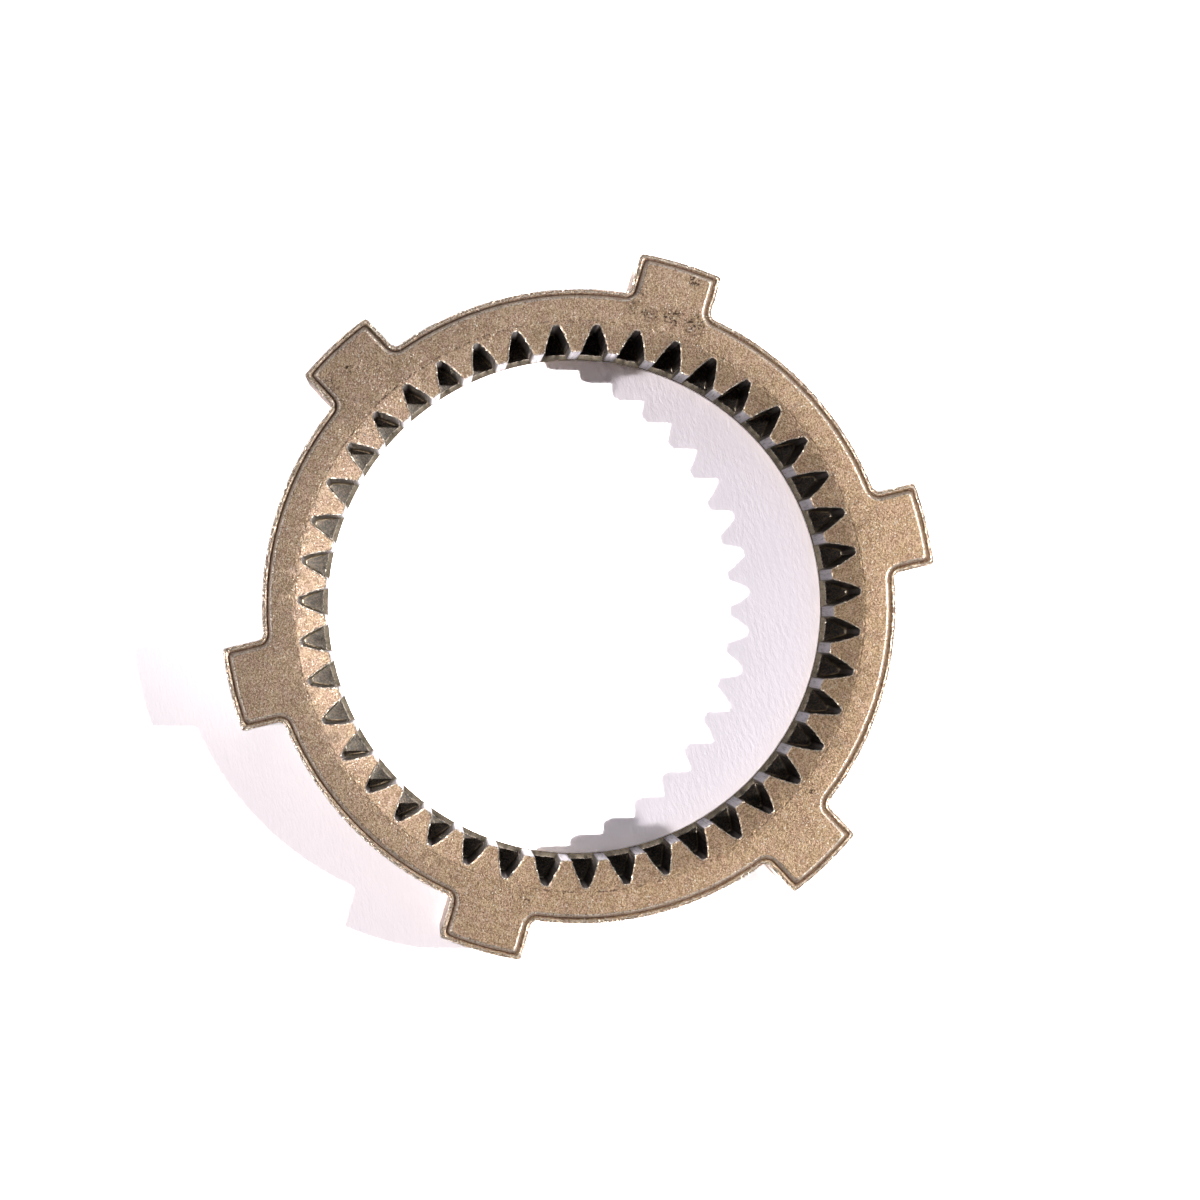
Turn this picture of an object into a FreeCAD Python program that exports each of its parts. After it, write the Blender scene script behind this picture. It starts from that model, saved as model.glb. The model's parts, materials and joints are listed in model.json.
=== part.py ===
import FreeCAD, Part

import math
import os

# Planetary ring gear, pressed and sintered in one piece, in millimetres.
# The axis is Z, the underside lies on z = 0, and one lug points along +X. One tooth space is
# centred on +Y, midway between two lugs, so the left and right halves mirror each other.

# Internal toothing
module = 1.0
tooth_count = 43
pressure_angle = 20.0
profile_shift = 0.32
addendum_factor = 0.95
dedendum_factor = 1.25
tip_corner_radius = 0.24
root_corner_radius = 0.22

# Ring
height = 9.0
wall_behind_roots = 2.93
countersink_margin = 0.3
countersink_angle = 15.0

# Flange that closes the lower ends of the tooth spaces
flange_thickness = 1.15
rim_bevel = 0.38

# Lugs that key the ring into its housing
lug_count = 6
lug_height = 3.4
lug_width = 6.9
lug_corner_radius = 0.3
lug_foot_radius = 0.55

# Pressed edge round the top of the outline: a narrow land, then a bevel up to the top face
land_width = 0.48
edge_bevel_width = 0.29
edge_bevel_height = 0.35

# Small bevel round the underside
base_bevel = 0.25

# Reach of cutters past the surfaces that they cut
cutter_reach = 1.0

# Sizes that follow from the above
pitch_radius = module * tooth_count / 2
base_radius = pitch_radius * math.cos(math.radians(pressure_angle))
tip_radius = pitch_radius + module * (profile_shift - addendum_factor)
root_radius = pitch_radius + module * (profile_shift + dedendum_factor)
tooth_pitch = 2 * math.pi / tooth_count
body_radius = root_radius + wall_behind_roots
lug_radius = body_radius + lug_height
countersink_radius = root_radius + countersink_margin
top_inset = land_width + edge_bevel_width


def polar(radius, angle, z=0.0):
    """Point at a radius and an angle in radians."""
    return FreeCAD.Vector(radius * math.cos(angle), radius * math.sin(angle), z)


def turned(point, angle):
    """Point turned about the Z axis by an angle in radians."""
    cosine = math.cos(angle)
    sine = math.sin(angle)
    return FreeCAD.Vector(point.x * cosine - point.y * sine, point.x * sine + point.y * cosine, point.z)


def mirrored(point):
    """Point on the other side of the X axis."""
    return FreeCAD.Vector(point.x, -point.y, point.z)


def arc(start, end, centre):
    """Edge on the shorter arc from start to end about a centre."""
    radius = (start - centre).Length
    middle = (start + end) * 0.5 - centre
    middle.normalize()
    return Part.Arc(start, centre + middle * radius, end).toShape()


def involute_angle(radius):
    """Polar angle that the involute of the base circle has gained at a radius."""
    roll = math.sqrt((radius / base_radius) ** 2 - 1)
    return roll - math.atan(roll)


def space_half_angle(radius):
    """Half the angle that a tooth space spans at a radius."""
    at_pitch = (math.pi / 2 + 2 * profile_shift * math.tan(math.radians(pressure_angle))) / tooth_count
    return at_pitch + involute_angle(pitch_radius) - involute_angle(radius)


def flank_point(string_length):
    """Point of the upper flank, where the string unwound from the base circle has this length."""
    radius = math.hypot(base_radius, string_length)
    return polar(radius, space_half_angle(radius))


def flank_arc(start_string, end_string):
    """Flank between two string lengths, as the arc through the involute's ends and middle."""
    middle = flank_point((start_string + end_string) / 2)
    return Part.Arc(flank_point(start_string), middle, flank_point(end_string)).toShape()


def corner_centre(circle_radius, corner_radius):
    """Centre of a corner arc that touches the flank and a circle.

    The corner radius counts as positive at the root, inside the space, and as negative at the
    tip, inside the tooth. A curve parallel to an involute is an involute of the same base circle.
    """
    radius = circle_radius - corner_radius
    return polar(radius, space_half_angle(radius) - corner_radius / base_radius)


def string_to(centre, corner_radius):
    """String length at which the flank meets the corner arc about a centre."""
    return math.sqrt(centre.Length ** 2 - base_radius ** 2) + corner_radius


def space_profile():
    """Edges of the tooth space on the +X axis, from its lower to its upper tip corner.

    Each tip corner is an arc. Each root corner is a flat between the two points at which its arc
    would touch the flank and the root circle.
    """
    root_centre = corner_centre(root_radius, root_corner_radius)
    tip_centre = corner_centre(tip_radius, -tip_corner_radius)
    root_string = string_to(root_centre, root_corner_radius)
    tip_string = string_to(tip_centre, -tip_corner_radius)
    tip = tip_centre * (tip_radius / tip_centre.Length)
    root = root_centre * (root_radius / root_centre.Length)
    upper = [
        arc(tip, flank_point(tip_string), tip_centre),
        flank_arc(tip_string, root_string),
        Part.makeLine(flank_point(root_string), root),
    ]
    lower = [edge.mirror(FreeCAD.Vector(), FreeCAD.Vector(0, 1, 0)) for edge in upper]
    return lower + [arc(mirrored(root), root, FreeCAD.Vector())] + upper[::-1]


def space_star():
    """Face of all the tooth spaces, joined inside the bore."""
    inner_radius = tip_radius - cutter_reach
    tip_centre = corner_centre(tip_radius, -tip_corner_radius)
    tip_angle = math.atan2(tip_centre.y, tip_centre.x)
    inner = polar(inner_radius, tip_angle)
    outer = polar(tip_radius, tip_angle)
    profile = [Part.makeLine(mirrored(inner), mirrored(outer))]
    profile += space_profile()
    profile.append(Part.makeLine(outer, inner))
    profile.append(arc(inner, polar(inner_radius, tooth_pitch - tip_angle), FreeCAD.Vector()))
    edges = []
    for index in range(tooth_count):
        degrees = 90 + index * 360 / tooth_count
        edges += [edge.rotated(FreeCAD.Vector(), FreeCAD.Vector(0, 0, 1), degrees) for edge in profile]
    return Part.Face(Part.Wire(edges))


def outline(inset, z):
    """Outline of the ring with its lugs, moved inwards by an inset, at a height."""
    body = body_radius - inset
    tip = lug_radius - inset
    half_width = lug_width / 2 - inset
    foot = lug_foot_radius + inset
    foot_y = half_width + foot
    foot_centre = FreeCAD.Vector(math.sqrt((body + foot) ** 2 - foot_y ** 2), foot_y, z)
    foot_on_body = FreeCAD.Vector(foot_centre.x * body / (body + foot), foot_y * body / (body + foot), z)
    foot_on_side = FreeCAD.Vector(foot_centre.x, half_width, z)
    corner = lug_corner_radius
    corner_y = half_width - corner
    corner_x = math.sqrt((tip - corner) ** 2 - corner_y ** 2)
    corner_mid = FreeCAD.Vector(corner_x, corner_y, z)
    corner_on_side = FreeCAD.Vector(corner_x, half_width, z)
    corner_on_tip = FreeCAD.Vector(corner_x * tip / (tip - corner), corner_y * tip / (tip - corner), z)
    side = [foot_on_body, foot_on_side, corner_on_side, corner_on_tip]

    axis = FreeCAD.Vector(0, 0, z)
    edges = []
    for index in range(lug_count):
        angle = index * 2 * math.pi / lug_count
        following = angle + 2 * math.pi / lug_count
        below = [turned(mirrored(point), angle) for point in side]
        above = [turned(point, angle) for point in side[::-1]]
        edges.append(arc(below[0], below[1], turned(mirrored(foot_centre), angle)))
        edges.append(Part.makeLine(below[1], below[2]))
        edges.append(arc(below[2], below[3], turned(mirrored(corner_mid), angle)))
        edges.append(arc(below[3], above[0], axis))
        edges.append(arc(above[0], above[1], turned(corner_mid, angle)))
        edges.append(Part.makeLine(above[1], above[2]))
        edges.append(arc(above[2], above[3], turned(foot_centre, angle)))
        edges.append(arc(above[3], turned(mirrored(foot_on_body), following), axis))
    return Part.Wire(edges)


def tier(lower, upper):
    """Solid between two outlines at different heights."""
    return Part.makeLoft([lower, upper], True, True)


def revolved(points):
    """Solid turned about the Z axis from a section given as radius and height pairs.

    The section stands on the -Y side, in the middle of a tooth, so its seam misses every space.
    """
    corners = [FreeCAD.Vector(0, -radius, z) for radius, z in points]
    section = Part.Face(Part.makePolygon(corners + corners[:1]))
    return section.revolve(FreeCAD.Vector(), FreeCAD.Vector(0, 0, 1), 360)


def blank():
    """Ring with its lugs and its edges, not yet hollow."""
    land = height - edge_bevel_height
    foot = tier(outline(base_bevel, 0), outline(0, base_bevel))
    wall = Part.Face(outline(0, base_bevel)).extrude(FreeCAD.Vector(0, 0, land - base_bevel))
    top = tier(outline(land_width, land), outline(top_inset, height))
    return foot.fuse(wall).fuse(top)


def bore_cutter():
    """Bore with its bevelled lower edge and the countersink over the tooth ends."""
    slope = math.tan(math.radians(countersink_angle))
    cone_foot = height - (countersink_radius - tip_radius) * slope
    above = height + cutter_reach
    return revolved([
        (0, -cutter_reach),
        (tip_radius + base_bevel + cutter_reach, -cutter_reach),
        (tip_radius, base_bevel),
        (tip_radius, cone_foot),
        (countersink_radius + cutter_reach / slope, above),
        (0, above),
    ])


def space_cutter():
    """Blind tooth spaces, with the bevelled rim of the flange between the teeth."""
    rim_foot = flange_thickness - rim_bevel
    above = height + cutter_reach
    past_roots = root_radius + cutter_reach
    prism = space_star()
    prism.translate(FreeCAD.Vector(0, 0, rim_foot))
    prism = prism.extrude(FreeCAD.Vector(0, 0, above - rim_foot))
    envelope = revolved([
        (0, rim_foot),
        (tip_radius, rim_foot),
        (tip_radius + rim_bevel, flange_thickness),
        (past_roots, flange_thickness),
        (past_roots, above),
        (0, above),
    ])
    return prism.common(envelope)


os.makedirs("parts", exist_ok=True)
ring_gear = blank().cut(bore_cutter()).cut(space_cutter()).removeSplitter()
ring_gear.exportStep("parts/ring_gear.step")
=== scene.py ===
"""Pressed and sintered ring gear lying on white paper, seen from above.

The gear is modelled here at a finer grain than its solid: half a tooth pitch and half a lug sector are
drawn row by row, mirrored, copied round the axis and joined. The rows are drawn in millimetres, and the
finished mesh is brought to metres.
"""

import json
import logging
import math
from dataclasses import dataclass, field
from enum import Enum
from typing import Any, Callable, Sequence

import bmesh
import bpy
from mathutils import Matrix, Vector

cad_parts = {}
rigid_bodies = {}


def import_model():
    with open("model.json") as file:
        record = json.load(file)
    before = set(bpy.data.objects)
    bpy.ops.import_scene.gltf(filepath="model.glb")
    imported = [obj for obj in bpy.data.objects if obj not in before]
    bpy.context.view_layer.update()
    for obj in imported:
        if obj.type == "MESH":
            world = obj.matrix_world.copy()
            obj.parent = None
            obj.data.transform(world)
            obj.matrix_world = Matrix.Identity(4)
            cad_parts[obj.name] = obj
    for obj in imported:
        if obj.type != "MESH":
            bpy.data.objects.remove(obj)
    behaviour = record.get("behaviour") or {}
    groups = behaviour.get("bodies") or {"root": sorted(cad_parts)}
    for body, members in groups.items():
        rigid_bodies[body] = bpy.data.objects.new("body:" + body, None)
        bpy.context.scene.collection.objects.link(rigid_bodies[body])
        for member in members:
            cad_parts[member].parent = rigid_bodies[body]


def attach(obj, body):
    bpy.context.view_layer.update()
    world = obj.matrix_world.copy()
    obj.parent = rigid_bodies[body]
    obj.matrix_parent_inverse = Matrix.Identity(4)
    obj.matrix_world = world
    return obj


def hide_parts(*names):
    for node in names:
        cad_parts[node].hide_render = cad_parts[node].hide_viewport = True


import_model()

log = logging.getLogger("ring_gear")

Colour = tuple[float, float, float, float]
Triple = tuple[float, float, float]
Band = tuple[float, float]
Test = Callable[[Any, int], bool]

# Metres in a millimetre
MM = 0.001
# Tolerance when points are told by their place, in millimetres or radians
NEAR = 0.001
# Height of the gear in millimetres, and the number of its lugs
HEIGHT = 9.0
LUGS = 6
# Degrees by which the picture's right lies from the gear's +X
PICTURE_TURN = -13.52
UNIT: Band = (0.0, 1.0)
BLACK: Colour = (0.0, 0.0, 0.0, 1.0)
WHITE: Colour = (1.0, 1.0, 1.0, 1.0)


class Zone(Enum):
    """How a face was made, as the value that its rows carry."""

    PRESSED = 0.0
    HALF_BURNISHED = 0.5
    BURNISHED = 1.0


class Corner(Enum):
    """The two rounded corners of a tooth space's outline."""

    ROOT = "root"
    TIP = "tip"


@dataclass(frozen=True)
class Row:
    """One chain of points across a pitch or a sector, with what its surface carries.

    Attributes:
        points: Places of the points in millimetres.
        zone: How the surface at this row was made.
        wear: How far the row's metal is rubbed bright, up to 1, or below 0 how far painted shade darkens it.
        burr: How far the row is torn out of its line, from 0 to 1.
    """

    points: Sequence[Vector]
    zone: Zone = Zone.PRESSED
    wear: float = 0.0
    burr: float = 0.0


class Bench:
    """Edit-mode bench on which one mesh is drawn in rows and joined up, in millimetres."""

    SEED_SIZE = 0.01
    MERGE_DISTANCE = 0.002

    def __init__(self, name: str) -> None:
        """Starts an empty mesh object and opens it.

        Args:
            name: Name of the object.
        """
        bpy.ops.object.select_all(action="DESELECT")
        bpy.ops.mesh.primitive_plane_add(size=1)
        self.obj = bpy.context.active_object
        self.obj.name = name
        self.obj.data.name = name
        bpy.ops.object.mode_set(mode="EDIT")
        bpy.ops.mesh.delete(type="VERT")
        grid = bmesh.from_edit_mesh(self.obj.data)
        for layer in ("zone", "wear", "burr"):
            grid.verts.layers.float.new(layer)
        grid.verts.layers.int.new("row")
        bmesh.update_edit_mesh(self.obj.data)
        self.rows = 0

    def draw(self, row: Row) -> int:
        """Draws a row by extruding one point after another.

        Args:
            row: The row to draw.

        Returns:
            The row's number.
        """
        bpy.ops.mesh.select_all(action="DESELECT")
        bpy.ops.mesh.primitive_plane_add(size=self.SEED_SIZE, location=row.points[0])
        bpy.ops.mesh.merge(type="CENTER")
        for start, end in zip(row.points, row.points[1:]):
            bpy.ops.mesh.extrude_vertices_move(TRANSFORM_OT_translate={"value": end - start})
        self.rows += 1
        grid = bmesh.from_edit_mesh(self.obj.data)
        number = grid.verts.layers.int["row"]
        for vert in grid.verts:
            if vert[number] == 0:
                vert[number] = self.rows
                vert[grid.verts.layers.float["zone"]] = row.zone.value
                vert[grid.verts.layers.float["wear"]] = row.wear
                vert[grid.verts.layers.float["burr"]] = row.burr
        bmesh.update_edit_mesh(self.obj.data)
        return self.rows

    def pick(self, wanted: Test) -> int:
        """Selects the points that pass a test, and the edges between them.

        Args:
            wanted: Test that takes a point and its row's number.

        Returns:
            How many points were selected.
        """
        bpy.ops.mesh.select_all(action="DESELECT")
        grid = bmesh.from_edit_mesh(self.obj.data)
        number = grid.verts.layers.int["row"]
        found = 0
        for vert in grid.verts:
            if wanted(vert.co, vert[number]):
                vert.select = True
                found += 1
        grid.select_flush(True)
        bmesh.update_edit_mesh(self.obj.data)
        return found

    def bridge(self, first: int, second: int) -> None:
        """Joins two rows of equal length, given by their numbers, by a strip of faces."""
        self.pick(lambda co, row: row in (first, second))
        bpy.ops.mesh.bridge_edge_loops()

    def weave(self, rows: Sequence[Row]) -> list[int]:
        """Draws rows and bridges each to the next.

        Args:
            rows: The rows in order.

        Returns:
            The rows' numbers.
        """
        numbers = [self.draw(row) for row in rows]
        for first, second in zip(numbers, numbers[1:]):
            self.bridge(first, second)
        return numbers

    def tie(self, wanted: Test) -> None:
        """Puts an edge between two points.

        Args:
            wanted: Test that only those two points pass.
        """
        found = self.pick(wanted)
        if found != 2:
            log.warning("%s: a tie found %d points", self.obj.name, found)
        bpy.ops.mesh.edge_face_add()

    def fill(self, wanted: Test) -> None:
        """Fills the closed line of points that pass a test."""
        self.pick(wanted)
        bpy.ops.mesh.fill(use_beauty=True)

    def merge(self) -> None:
        """Merges points that lie on each other."""
        bpy.ops.mesh.select_all(action="SELECT")
        bpy.ops.mesh.remove_doubles(threshold=self.MERGE_DISTANCE)

    def mirror(self, direction: str) -> None:
        """Mirrors the half that is drawn, with the side that is kept named as symmetrize names it."""
        bpy.ops.mesh.select_all(action="SELECT")
        bpy.ops.mesh.symmetrize(direction=direction, threshold=NEAR)

    def repeat(self, count: int) -> None:
        """Copies the mesh round the axis until the circle is full.

        Args:
            count: How many times it fits into the circle.
        """
        bpy.ops.mesh.select_all(action="SELECT")
        bpy.ops.mesh.spin(
            steps=count - 1,
            dupli=True,
            angle=2 * math.pi * (count - 1) / count,
            center=(0, 0, 0),
            axis=(0, 0, 1),
        )
        self.merge()

    def close(self) -> bpy.types.Object:
        """Leaves edit mode and returns the object."""
        bpy.ops.object.mode_set(mode="OBJECT")
        return self.obj


@dataclass(frozen=True)
class Toothing:
    """The 43 inner teeth, the countersink over them, and the flange and bore under them.

    Lengths are in millimetres. A half pitch is drawn clockwise from the middle of the space on +Y. A
    point of a flank is told by its string, the length unwound from the base circle.

    Attributes:
        rim_offsets: Where the rim's rows lie: just inside, on and just outside its line.
        rim_burr: How far the rim's crest stands above the floor.
        bevel_guards: How far above and beside the base bevel the next rows lie.
        toe: Size of the rounding between wall and floor.
        toe_ease: Share of that size at the last points before the rim, where it runs out.
        toe_turns: Degrees along the rounding at which its rows lie, with their wear.
    """

    count: int = 43
    pressure_angle: float = 20.0
    profile_shift: float = 0.32
    base_radius: float = 20.2034
    pitch_radius: float = 21.5
    tip_radius: float = 20.87
    root_radius: float = 23.07
    tip_corner: float = 0.24
    root_corner: float = 0.22
    height: float = HEIGHT
    countersink_radius: float = 23.37
    countersink_angle: float = 15.0
    floor: float = 1.15
    rim_bevel: float = 0.38
    rim_burr: float = 0.02
    rim_offsets: Triple = (-0.05, 0.01, 0.09)
    rim_wear: float = 0.8
    rim_tear: float = 0.7
    base_bevel: float = 0.25
    bevel_guards: tuple[float, float] = (0.08, 0.1)
    toe: float = 0.2
    toe_ease: tuple[float, ...] = (0.75, 0.4, 0.0)
    toe_turns: tuple[tuple[float, float], ...] = ((0.0, 0.0), (30.0, 0.3), (60.0, 0.3), (90.0, 0.0))
    root_steps: int = 2
    root_corner_steps: int = 4
    flank_steps: int = 15
    tip_corner_steps: int = 5
    tip_steps: int = 3
    brow_steps: int = 12
    rim_steps: int = 8

    def half_pitch(self) -> float:
        """Half the angle from tooth to tooth."""
        return math.pi / self.count

    def half_angle(self, radius: float) -> float:
        """Half the angle of a tooth space at a radius."""
        shift = 2 * self.profile_shift * math.tan(math.radians(self.pressure_angle))
        return (math.pi / 2 + shift) / self.count + self.roll(self.pitch_radius) - self.roll(radius)

    def roll(self, radius: float) -> float:
        """Involute angle at a radius."""
        tangent = math.sqrt((radius / self.base_radius) ** 2 - 1)
        return tangent - math.atan(tangent)

    def string_at(self, radius: float) -> float:
        """String length of the flank's point at a radius."""
        return math.sqrt(radius**2 - self.base_radius**2)

    def touch(self, string: float) -> float:
        """Angle at which the string to a flank's point leaves the base circle."""
        radius = math.hypot(self.base_radius, string)
        return self.half_angle(radius) - math.atan2(string, self.base_radius)

    def place(self, radius: float, angle: float, z: float) -> Vector:
        """Point at an angle clockwise from +Y."""
        return Vector((radius * math.sin(angle), radius * math.cos(angle), z))

    def cone(self, radius: float) -> float:
        """Height of the countersink at a radius."""
        slope = math.tan(math.radians(self.countersink_angle))
        return self.height - (self.countersink_radius - radius) * slope

    def ledge(self) -> float:
        """Height of the lower end of the flange's bevelled rim."""
        return self.floor - self.rim_bevel

    def rim_radii(self) -> Triple:
        """Radii just inside, on and just outside the flange's rim."""
        rim = self.tip_radius + self.rim_bevel
        return tuple(rim + offset for offset in self.rim_offsets)

    def foot(self, radius: float) -> float:
        """Finds the height at which the walls of the space end.

        Args:
            radius: Distance from the axis.

        Returns:
            Height of the rim's bevel, of its burr or of the floor.
        """
        inside, crest, _ = self.rim_radii()
        if radius < inside + NEAR:
            return self.ledge() + radius - self.tip_radius
        if radius < crest + NEAR:
            return self.floor + self.rim_burr
        return self.floor

    def root_centre(self) -> tuple[float, float]:
        """Radius and angle of the root corner's centre."""
        radius = self.root_radius - self.root_corner
        return radius, self.half_angle(radius) - self.root_corner / self.base_radius

    def tip_centre(self) -> tuple[float, float]:
        """Radius and angle of the tip corner's centre."""
        radius = self.tip_radius + self.tip_corner
        return radius, self.half_angle(radius) + self.tip_corner / self.base_radius

    def tip_land(self) -> list[float]:
        """Spreads points over the tip, from its corner to the middle of the tooth.

        Returns:
            Their angles, without the corner's own.
        """
        turn = self.tip_centre()[1]
        steps = self.tip_steps
        return [turn + (self.half_pitch() - turn) * index / steps for index in range(1, steps + 1)]

    def stations(self) -> list[float]:
        """Spreads points over the flank.

        Returns:
            Their strings, from the root corner down to the tip corner.
        """
        upper = self.string_at(self.root_centre()[0]) + self.root_corner
        lower = self.string_at(self.tip_centre()[0]) - self.tip_corner
        rim = [self.string_at(radius) for radius in self.rim_radii()[::-1]]
        steps = self.flank_steps
        return [upper + (rim[0] - upper) * index / steps for index in range(steps)] + rim + [lower]

    def flank_point(self, string: float, offset: float) -> tuple[float, float]:
        """Radius and angle of a flank's point, moved into the metal by an offset."""
        moved = string + offset
        return math.hypot(self.base_radius, moved), self.touch(string) + math.atan2(moved, self.base_radius)

    def contour(self, offset: float, depth: Callable[[float], float]) -> list[Vector]:
        """Draws half a pitch of the tooth outline, moved into the metal by an offset.

        Args:
            offset: Distance into the metal.
            depth: Height as a function of the radius.

        Returns:
            Points from the middle of the space to the middle of the tooth.
        """
        stations = self.stations()
        turn = self.root_centre()[1]
        steps = self.root_steps
        flat = [(self.root_radius + offset, turn * index / steps) for index in range(steps)]
        flat += self.corner(Corner.ROOT, self.root_corner + offset, stations[0])
        flat += [self.flank_point(string, offset) for string in stations[1:-1]]
        flat += self.corner(Corner.TIP, self.tip_corner - offset, stations[-1])
        flat += [(self.tip_radius + offset, angle) for angle in self.tip_land()]
        return [self.place(radius, angle, depth(radius)) for radius, angle in flat]

    def corner(self, kind: Corner, size: float, string: float) -> list[tuple[float, float]]:
        """Draws the arc round a corner's centre, in the order of the contour.

        Args:
            kind: Which corner. The arc runs outside its centre at the root, and inside it at the tip.
            size: Radius of the arc.
            string: String length at which the flank meets the corner.

        Returns:
            Radius and angle of each point, both ends included.
        """
        normal = self.touch(string) + math.pi / 2
        if kind is Corner.ROOT:
            at, turn = self.root_centre()
            steps, start, end = self.root_corner_steps, turn, normal
        else:
            at, turn = self.tip_centre()
            steps, start, end = self.tip_corner_steps, normal + math.pi, turn + math.pi
            end += 2 * math.pi * round((start - end) / (2 * math.pi))
        centre = complex(at * math.cos(turn), at * math.sin(turn))
        places = []
        for index in range(steps + 1):
            angle = start + (end - start) * index / steps
            point = centre + complex(size * math.cos(angle), size * math.sin(angle))
            places.append((abs(point), math.atan2(point.imag, point.real)))
        return places

    def sweep(self, radius: float, z: float, end: float, steps: int) -> list[Vector]:
        """Arc of points from the middle of the space to an angle."""
        return [self.place(radius, end * index / steps, z) for index in range(steps + 1)]

    def toe_lift(self) -> list[float]:
        """Share of the toe's full size at each point from the middle of the space to the rim."""
        points = self.root_steps + self.root_corner_steps + 1 + self.flank_steps
        return [1.0] * (points - len(self.toe_ease)) + list(self.toe_ease)

    def walls_foot(self) -> list[Vector]:
        """Draws the lower end of the space's wall, lifted where it rounds into the floor.

        Returns:
            Points from the middle of the space to the middle of the tooth.
        """
        points = self.contour(0.0, self.foot)
        for point, lift in zip(points, self.toe_lift()):
            point.z += self.toe * lift
        return points

    def toe_row(self, degrees: float) -> list[Vector]:
        """Draws a row of the toe, the rounding between wall and floor.

        Args:
            degrees: Turn along the rounding, from 0 at the wall to 90 at the floor.

        Returns:
            Points from the middle of the space to the rim.
        """
        turn = math.radians(degrees)
        outer = self.contour(0.0, self.foot)
        inner = self.contour(-self.toe, self.foot)
        points = []
        for near, far, lift in zip(outer, inner, self.toe_lift()):
            point = near + (far - near) * (1 - math.cos(turn)) * lift
            point.z = self.floor + self.toe * lift * (1 - math.sin(turn))
            points.append(point)
        return points

    def brow_rows(self) -> list[Row]:
        """Draws the rounded brow between the top face and the countersink.

        Returns:
            Rows from the top face inwards.
        """
        brow = self.countersink_radius
        # Radius, height and burr
        section = (
            (brow + 0.17, self.height, 0.2),
            (brow + 0.07, self.height - 0.008, 0.5),
            (brow, self.height - 0.028, 0.7),
            (brow - 0.06, self.cone(brow - 0.06) - 0.01, 0.5),
            (brow - 0.12, self.cone(brow - 0.12), 0.2),
        )
        half = self.half_pitch()
        return [Row(self.sweep(radius, z, half, self.brow_steps), burr=burr) for radius, z, burr in section]

    def wall_rows(self) -> list[Row]:
        """Draws the torn edge between countersink and tooth outline, and the walls under it.

        Returns:
            Rows from the countersink down to the walls' foot.
        """
        # Offset into the metal, rise above the countersink, zone, wear and burr
        section = (
            (0.18, 0.0, Zone.PRESSED, 0.0, 0.0),
            (0.13, 0.0, Zone.PRESSED, 0.0, 0.0),
            (0.08, 0.012, Zone.PRESSED, 0.6, 0.6),
            (0.03, 0.02, Zone.PRESSED, 1.0, 1.0),
            (0.0, -0.02, Zone.PRESSED, 1.0, 0.8),
            (0.0, -0.10, Zone.BURNISHED, 0.0, 0.0),
        )
        rows = [
            Row(self.contour(offset, lambda radius: self.cone(radius) + rise), zone, wear, burr)
            for offset, rise, zone, wear, burr in section
        ]
        return rows + [Row(self.walls_foot(), Zone.BURNISHED)]

    def rim_rows(self) -> list[Row]:
        """Draws the burred rim of the flange.

        Returns:
            Rows just inside, on and just outside it.
        """
        rows = []
        for radius, share in zip(self.rim_radii(), (0.0, 1.0, 0.0)):
            points = self.sweep(radius, self.foot(radius), self.half_angle(radius), self.rim_steps)
            rows.append(Row(points, Zone.BURNISHED, self.rim_wear * share, self.rim_tear * share))
        return rows

    def bore_rows(self) -> list[Row]:
        """Draws the bore and the bevel under it.

        Returns:
            Rows from the lower end of the rim's bevel to the underside.
        """
        edge = self.base_bevel
        above, beside = self.bevel_guards
        # Distance from the bore into the metal, and height
        section = ((0.0, self.ledge()), (0.0, edge + above), (0.0, edge), (edge, 0.0), (edge + beside, 0.0))
        rows = []
        for out, z in section:
            radius = self.tip_radius + out
            points = self.sweep(radius, z, self.tip_centre()[1], self.rim_steps)
            points += [self.place(radius, angle, z) for angle in self.tip_land()]
            rows.append(Row(points, Zone.BURNISHED if z > 0 else Zone.PRESSED))
        return rows

    def on_bevel(self, co: Vector, _row: int) -> bool:
        """Tells whether a point bounds the bevelled face inside the flange's rim."""
        beside = math.atan2(co.x, co.y) < self.tip_centre()[1] + NEAR and co.z > self.ledge() - NEAR
        return beside and co.z < self.floor and math.hypot(co.x, co.y) < self.rim_radii()[0] + NEAR

    def on_floor(self, co: Vector, _row: int) -> bool:
        """Tells whether a point bounds the flange's flat face outside its rim."""
        return abs(co.z - self.floor) < NEAR and math.hypot(co.x, co.y) > self.rim_radii()[2] - NEAR

    def build(self) -> bpy.types.Object:
        """Draws a half pitch, mirrors it and copies it round.

        Returns:
            The toothed inner side, in millimetres.
        """
        bench = Bench("inner_side")
        cone_rows = (bench.weave(self.brow_rows())[-1], bench.weave(self.wall_rows())[0])
        bench.weave([Row(self.toe_row(turn), Zone.BURNISHED, wear) for turn, wear in self.toe_turns])
        bench.weave(self.rim_rows())
        bench.weave(self.bore_rows())
        bench.merge()
        half = self.half_pitch()
        bench.tie(lambda co, row: row in cone_rows and abs(math.atan2(co.x, co.y) - half) < NEAR)
        bench.fill(lambda co, row: row in cone_rows)
        for bounds_gap in (self.on_bevel, self.on_floor):
            bench.tie(lambda co, row: bounds_gap(co, row) and abs(co.x) < NEAR)
            bench.fill(bounds_gap)
        bench.mirror("POSITIVE_X")
        bench.repeat(self.count)
        return bench.close()


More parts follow.
